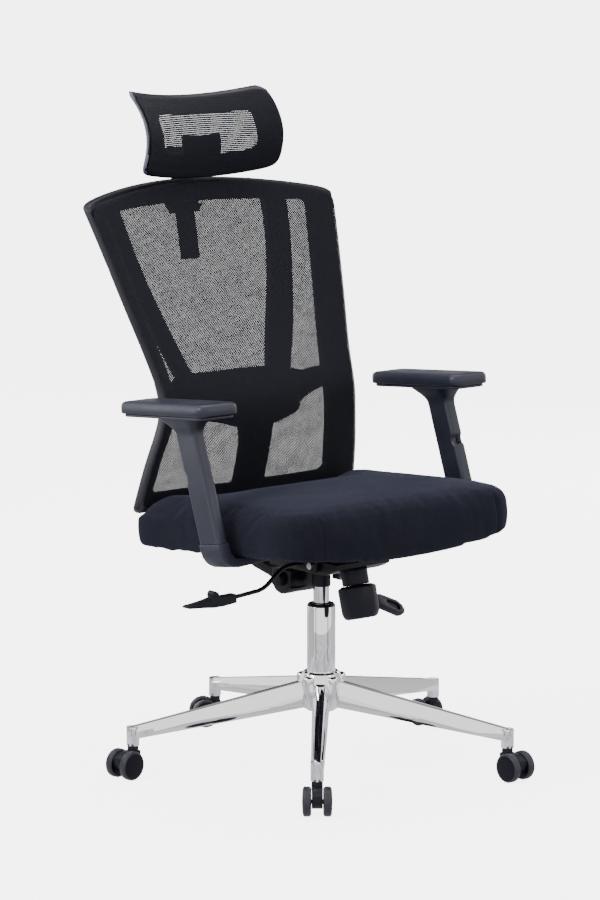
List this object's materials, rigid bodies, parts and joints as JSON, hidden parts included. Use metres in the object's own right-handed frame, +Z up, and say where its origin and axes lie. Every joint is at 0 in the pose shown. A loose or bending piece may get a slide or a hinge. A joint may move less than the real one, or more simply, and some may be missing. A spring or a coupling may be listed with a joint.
{
  "type": "swivel office chair",
  "caption": "High-backed swivel office chair: mesh back on a rear spine, mesh headrest, padded seat, height-adjustable arms, gas lift and a polished star base on twin-wheel casters.",
  "frame": {"origin": "on the floor, under the middle of the whole chair's box", "axes": "+Z up along the chair's height; -Y the way the sitter faces; +X towards the sitter's left hand"},
  "size_m": [0.7158, 0.7514, 1.1663],
  "materials": {
    "chrome": "mirror-polished chrome plate",
    "steel": "plain machined steel",
    "zinc": "bright zinc plate",
    "black_steel": "semi-gloss black powder coat",
    "black_plastic": "fine-textured black nylon",
    "gloss_plastic": "glossy black moulding",
    "arm_plastic": "satin blue-black polypropylene",
    "tread_plastic": "black disc with a grey polyurethane tread",
    "headrest_plastic": "satin grey moulding",
    "seat_fabric": "close black knitted upholstery fabric over foam",
    "mesh_fabric": "see-through black elastic mesh"
  },
  "bodies": {
    "base": {"star_base": "chrome", "column_tube": "chrome", "column_ring": "black_plastic", "column_bushing": "black_plastic", "piston_rod": "steel"},
    "caster_1": {"caster_1_hood": "black_plastic"},
    "caster_1_left": {"caster_1_wheel_left": "tread_plastic"},
    "caster_1_right": {"caster_1_wheel_right": "tread_plastic"},
    "caster_2": {"caster_2_hood": "black_plastic"},
    "caster_2_left": {"caster_2_wheel_left": "tread_plastic"},
    "caster_2_right": {"caster_2_wheel_right": "tread_plastic"},
    "caster_3": {"caster_3_hood": "black_plastic"},
    "caster_3_left": {"caster_3_wheel_left": "tread_plastic"},
    "caster_3_right": {"caster_3_wheel_right": "tread_plastic"},
    "caster_4": {"caster_4_hood": "black_plastic"},
    "caster_4_left": {"caster_4_wheel_left": "tread_plastic"},
    "caster_4_right": {"caster_4_wheel_right": "tread_plastic"},
    "caster_5": {"caster_5_hood": "black_plastic"},
    "caster_5_left": {"caster_5_wheel_left": "tread_plastic"},
    "caster_5_right": {"caster_5_wheel_right": "tread_plastic"},
    "lift": {"lift_cylinder": "chrome"},
    "mechanism": {"mechanism_housing": "black_steel", "lift_collar": "black_plastic", "back_hinge_block": "gloss_plastic", "pivot_pin": "steel", "pivot_cap": "black_plastic", "zinc_bracket": "zinc", "tension_sleeve": "black_plastic"},
    "tension": {"tension_knob": "black_plastic"},
    "lift_lever": {"lift_lever_rod": "black_steel", "lift_lever_handle": "black_plastic"},
    "tilt_lever": {"tilt_lever_rod": "black_steel", "tilt_lever_handle": "black_plastic"},
    "seat": {"seat_plate": "black_steel", "tilt_shaft": "steel", "seat_pan": "black_plastic", "seat_cushion": "seat_fabric", "arm_bracket_left": "arm_plastic", "arm_post_left": "steel", "arm_bracket_right": "arm_plastic", "arm_post_right": "steel"},
    "arm_left": {"arm_sleeve_left": "arm_plastic", "arm_pad_base_left": "arm_plastic", "arm_pad_left": "arm_plastic"},
    "button_left": {"arm_button_left": "black_plastic"},
    "arm_right": {"arm_sleeve_right": "arm_plastic", "arm_pad_base_right": "arm_plastic", "arm_pad_right": "arm_plastic"},
    "button_right": {"arm_button_right": "black_plastic"},
    "back": {"back_bar": "black_steel", "back_spine": "black_plastic", "back_frame": "black_plastic", "back_mesh": "mesh_fabric", "stem_guide": "black_plastic"},
    "headrest_slider": {"headrest_stem": "black_plastic"},
    "headrest": {"headrest_frame": "headrest_plastic", "headrest_mesh": "mesh_fabric", "headrest_bracket": "black_plastic"}
  },
  "joints": [
    {"name": "caster_1_swivel", "type": "hinge", "parent": "base", "child": "caster_1", "pos_m": [-0.22335, -0.29234, 0.06], "axis": [0, 0, 1], "continuous": true},
    {"name": "caster_1_roll_left", "type": "hinge", "parent": "caster_1", "child": "caster_1_left", "pos_m": [-0.2362, -0.30766, 0.025], "axis": [0.766, -0.6428, 0], "continuous": true},
    {"name": "caster_1_roll_right", "type": "hinge", "parent": "caster_1", "child": "caster_1_right", "pos_m": [-0.2362, -0.30766, 0.025], "axis": [0.766, -0.6428, 0], "continuous": true},
    {"name": "caster_2_swivel", "type": "hinge", "parent": "base", "child": "caster_2", "pos_m": [0.17457, -0.32995, 0.06], "axis": [0, 0, 1], "continuous": true},
    {"name": "caster_2_roll_left", "type": "hinge", "parent": "caster_2", "child": "caster_2_left", "pos_m": [0.17527, -0.34994, 0.025], "axis": [0.9994, 0.0349, 0], "continuous": true},
    {"name": "caster_2_roll_right", "type": "hinge", "parent": "caster_2", "child": "caster_2_right", "pos_m": [0.17527, -0.34994, 0.025], "axis": [0.9994, 0.0349, 0], "continuous": true},
    {"name": "caster_3_swivel", "type": "hinge", "parent": "base", "child": "caster_3", "pos_m": [0.33331, 0.03687, 0.06], "axis": [0, 0, 1], "continuous": true},
    {"name": "caster_3_roll_left", "type": "hinge", "parent": "caster_3", "child": "caster_3_left", "pos_m": [0.33226, 0.05684, 0.025], "axis": [-0.9986, -0.0523, 0], "continuous": true},
    {"name": "caster_3_roll_right", "type": "hinge", "parent": "caster_3", "child": "caster_3_right", "pos_m": [0.33226, 0.05684, 0.025], "axis": [-0.9986, -0.0523, 0], "continuous": true},
    {"name": "caster_4_swivel", "type": "hinge", "parent": "base", "child": "caster_4", "pos_m": [0.0335, 0.30119, 0.06], "axis": [0, 0, 1], "continuous": true},
    {"name": "caster_4_roll_left", "type": "hinge", "parent": "caster_4", "child": "caster_4_left", "pos_m": [0.01618, 0.31119, 0.025], "axis": [-0.5, -0.866, 0], "continuous": true},
    {"name": "caster_4_roll_right", "type": "hinge", "parent": "caster_4", "child": "caster_4_right", "pos_m": [0.01618, 0.31119, 0.025], "axis": [-0.5, -0.866, 0], "continuous": true},
    {"name": "caster_5_swivel", "type": "hinge", "parent": "base", "child": "caster_5", "pos_m": [-0.31054, 0.09773, 0.06], "axis": [0, 0, 1], "continuous": true},
    {"name": "caster_5_roll_left", "type": "hinge", "parent": "caster_5", "child": "caster_5_left", "pos_m": [-0.33039, 0.09529, 0.025], "axis": [0.1219, -0.9925, 0], "continuous": true},
    {"name": "caster_5_roll_right", "type": "hinge", "parent": "caster_5", "child": "caster_5_right", "pos_m": [-0.33039, 0.09529, 0.025], "axis": [0.1219, -0.9925, 0], "continuous": true},
    {"name": "lift_height", "type": "slide", "parent": "base", "child": "lift", "axis": [0, 0, 1], "range_m": [-0.028, 0.06]},
    {"name": "seat_swivel", "type": "hinge", "parent": "lift", "child": "mechanism", "pos_m": [0.0015, -0.0373, 0.33], "axis": [0, 0, 1], "continuous": true},
    {"name": "seat_tilt", "type": "hinge", "parent": "mechanism", "child": "seat", "pos_m": [0.0015, -0.0893, 0.368], "axis": [-1, 0, 0], "range_deg": [0, 8], "stiffness_Nm_per_rad": 300, "springref_deg": -22.92},
    {"name": "back_recline", "type": "hinge", "parent": "mechanism", "child": "back", "pos_m": [0.0015, 0.0207, 0.326], "axis": [-1, 0, 0], "range_deg": [0, 16]},
    {"name": "tension_turn", "type": "hinge", "parent": "mechanism", "child": "tension", "pos_m": [0.0015, -0.1219, 0.365], "axis": [0, -0.2453, -0.9694], "continuous": true},
    {"name": "lift_lever_pull", "type": "hinge", "parent": "mechanism", "child": "lift_lever", "pos_m": [-0.0605, -0.0573, 0.368], "axis": [0, 1, 0], "range_deg": [0, 7], "stiffness_Nm_per_rad": 1.5, "springref_deg": -17.19},
    {"name": "tilt_lever_turn", "type": "hinge", "parent": "mechanism", "child": "tilt_lever", "pos_m": [0.0635, -0.0313, 0.352], "axis": [0, -1, 0], "range_deg": [0, 15]},
    {"name": "arm_height_left", "type": "slide", "parent": "seat", "child": "arm_left", "axis": [0, 0.3338, 0.9426], "range_m": [0, 0.07]},
    {"name": "arm_button_press_left", "type": "slide", "parent": "arm_left", "child": "button_left", "axis": [0, 0.9426, -0.3338], "range_m": [0, 0.0012], "stiffness_N_per_m": 400, "springref_m": -0.002},
    {"name": "arm_height_right", "type": "slide", "parent": "seat", "child": "arm_right", "axis": [0, 0.3338, 0.9426], "range_m": [0, 0.07]},
    {"name": "arm_button_press_right", "type": "slide", "parent": "arm_right", "child": "button_right", "axis": [0, -0.9426, 0.3338], "range_m": [0, 0.0012], "stiffness_N_per_m": 400, "springref_m": -0.002},
    {"name": "headrest_height", "type": "slide", "parent": "back", "child": "headrest_slider", "axis": [0, 0.1908, 0.9816], "range_m": [0, 0.045]},
    {"name": "headrest_tilt", "type": "hinge", "parent": "headrest_slider", "child": "headrest", "pos_m": [0.0015, 0.3627, 1.046], "axis": [1, 0, 0], "range_deg": [-20, 3.5]}
  ],
  "couplings": [
    {"joint": "back_recline", "follows": "seat_tilt", "ratio": 2}
  ]
}
